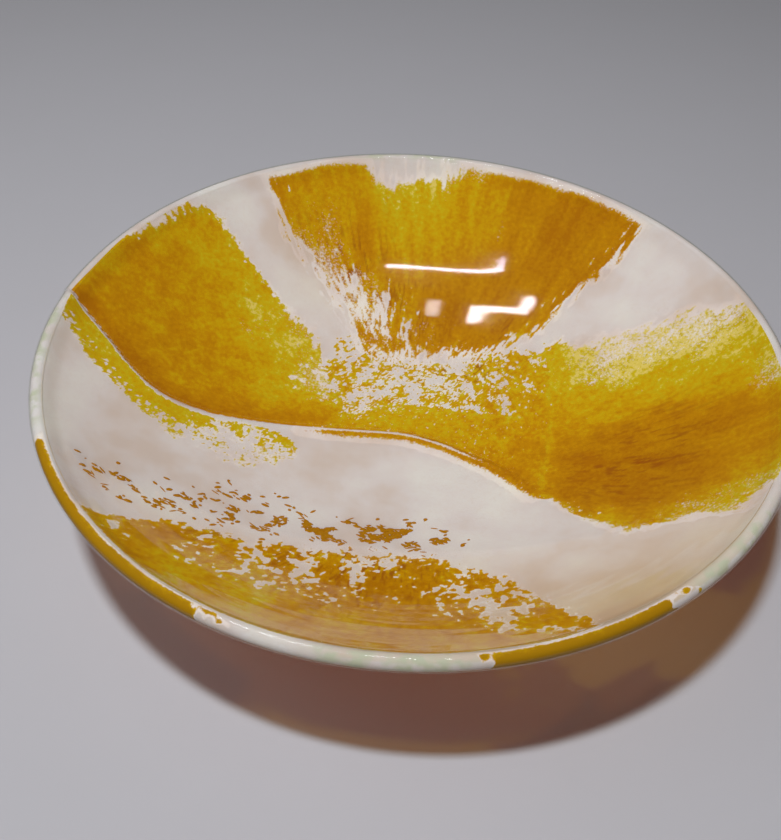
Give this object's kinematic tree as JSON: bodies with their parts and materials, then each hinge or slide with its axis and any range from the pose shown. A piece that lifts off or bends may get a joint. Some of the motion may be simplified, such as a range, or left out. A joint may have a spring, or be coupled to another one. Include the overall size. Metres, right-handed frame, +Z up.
{
  "type": "art glass bowl",
  "caption": "Wide shallow cased glass bowl, opal white with swirled amber and yellow frit under a clear lining, a rounded lip and a ground flat to rest on.",
  "frame": {"origin": "middle of the ground flat that the bowl rests on", "axes": "+Z up along the bowl's axis, +Y to the back, +X to the right as the bowl is seen from the front"},
  "size_m": [0.38, 0.38, 0.088],
  "materials": {
    "clear_glass": "fire-polished clear soda-lime glass, smooth and glossy",
    "opal_glass": "milky opal white glass, slightly pink, under clear glass",
    "amber_frit": "amber frit melted flush into the opal, streaked and speckled",
    "yellow_frit": "fine yellow frit, speckled, letting the opal show through"
  },
  "bodies": {
    "root": {"outer_gather": "clear_glass", "opal_core": "opal_glass", "clear_lining": "clear_glass", "amber_back": "amber_frit", "amber_left": "amber_frit", "amber_middle": "amber_frit", "amber_right": "amber_frit", "amber_front": "amber_frit", "yellow_fringe": "yellow_frit", "amber_flecks": "amber_frit", "amber_lip_left": "amber_frit", "amber_lip_front": "amber_frit"}
  },
  "joints": []
}
